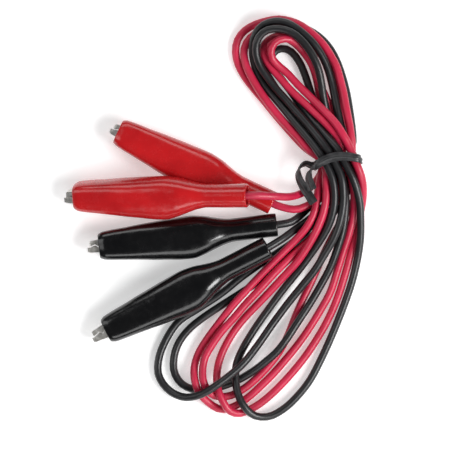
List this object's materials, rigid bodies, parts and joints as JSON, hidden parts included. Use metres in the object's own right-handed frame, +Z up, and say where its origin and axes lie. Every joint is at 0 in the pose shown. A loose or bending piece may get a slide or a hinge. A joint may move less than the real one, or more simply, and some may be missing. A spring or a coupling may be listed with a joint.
{
  "type": "alligator clip test leads",
  "caption": "Pair of insulated test leads, one red and one black, with a booted alligator clip on every end, looped and held by a twist tie",
  "frame": {"origin": "centre of the footprint of the clips and the tie, on the surface that the object lies on", "axes": "+Z up; the clips point to -X; +Y runs from the bottoms of the long loops to the tops of the short ones"},
  "size_m": [0.0769, 0.103, 0.0165],
  "materials": {
    "red_boot": "gloss",
    "black_boot": "gloss",
    "jaw": "nickel plate",
    "pin": "satin",
    "spring": "satin",
    "copper": "bare",
    "red_insulation": "satin",
    "black_insulation": "satin",
    "tie": "satin"
  },
  "bodies": {
    "root": {"front_red_boot": "red_boot", "front_red_lower_jaw": "jaw", "front_red_pivot_pin": "pin", "front_red_spring": "spring", "front_red_wire_core": "copper", "rear_red_boot": "red_boot", "rear_red_lower_jaw": "jaw", "rear_red_pivot_pin": "pin", "rear_red_spring": "spring", "rear_red_wire_core": "copper", "upper_black_boot": "black_boot", "upper_black_lower_jaw": "jaw", "upper_black_pivot_pin": "pin", "upper_black_spring": "spring", "upper_black_wire_core": "copper", "lower_black_boot": "black_boot", "lower_black_lower_jaw": "jaw", "lower_black_pivot_pin": "pin", "lower_black_spring": "spring", "lower_black_wire_core": "copper", "red_lead_1": "red_insulation", "red_lead_2": "red_insulation", "red_lead_3": "red_insulation", "black_lead_1": "black_insulation", "black_lead_2": "black_insulation", "black_lead_3": "black_insulation", "twist_tie_band": "tie", "twist_tie_long_end": "tie", "twist_tie_short_end": "tie"},
    "front_red_jaw": {"front_red_upper_jaw": "jaw"},
    "rear_red_jaw": {"rear_red_upper_jaw": "jaw"},
    "upper_black_jaw": {"upper_black_upper_jaw": "jaw"},
    "lower_black_jaw": {"lower_black_upper_jaw": "jaw"}
  },
  "joints": [
    {"name": "front_red_hinge", "type": "hinge", "parent": "root", "child": "front_red_jaw", "pos_m": [-0.01724, 0.009, 0.00756], "axis": [-0.2091, -0.309, 0.9278], "range_deg": [0, 18], "stiffness_Nm_per_rad": 0.02, "springref_deg": -20.05, "deforming": ["front_red_spring", "front_red_boot"]},
    {"name": "rear_red_hinge", "type": "hinge", "parent": "root", "child": "rear_red_jaw", "pos_m": [-0.00693, 0.01761, 0.004], "axis": [0, 0, 1], "range_deg": [0, 18], "stiffness_Nm_per_rad": 0.02, "springref_deg": -20.05, "deforming": ["rear_red_spring", "rear_red_boot"]},
    {"name": "upper_black_hinge", "type": "hinge", "parent": "root", "child": "upper_black_jaw", "pos_m": [-0.01121, -0.00164, 0.004], "axis": [0, 0, 1], "range_deg": [0, 18], "stiffness_Nm_per_rad": 0.02, "springref_deg": -20.05, "deforming": ["upper_black_spring", "upper_black_boot"]},
    {"name": "lower_black_hinge", "type": "hinge", "parent": "root", "child": "lower_black_jaw", "pos_m": [-0.01213, -0.01771, 0.00428], "axis": [-0.0559, -0.0286, 0.998], "range_deg": [0, 18], "stiffness_Nm_per_rad": 0.02, "springref_deg": -20.05, "deforming": ["lower_black_spring", "lower_black_boot"]}
  ]
}
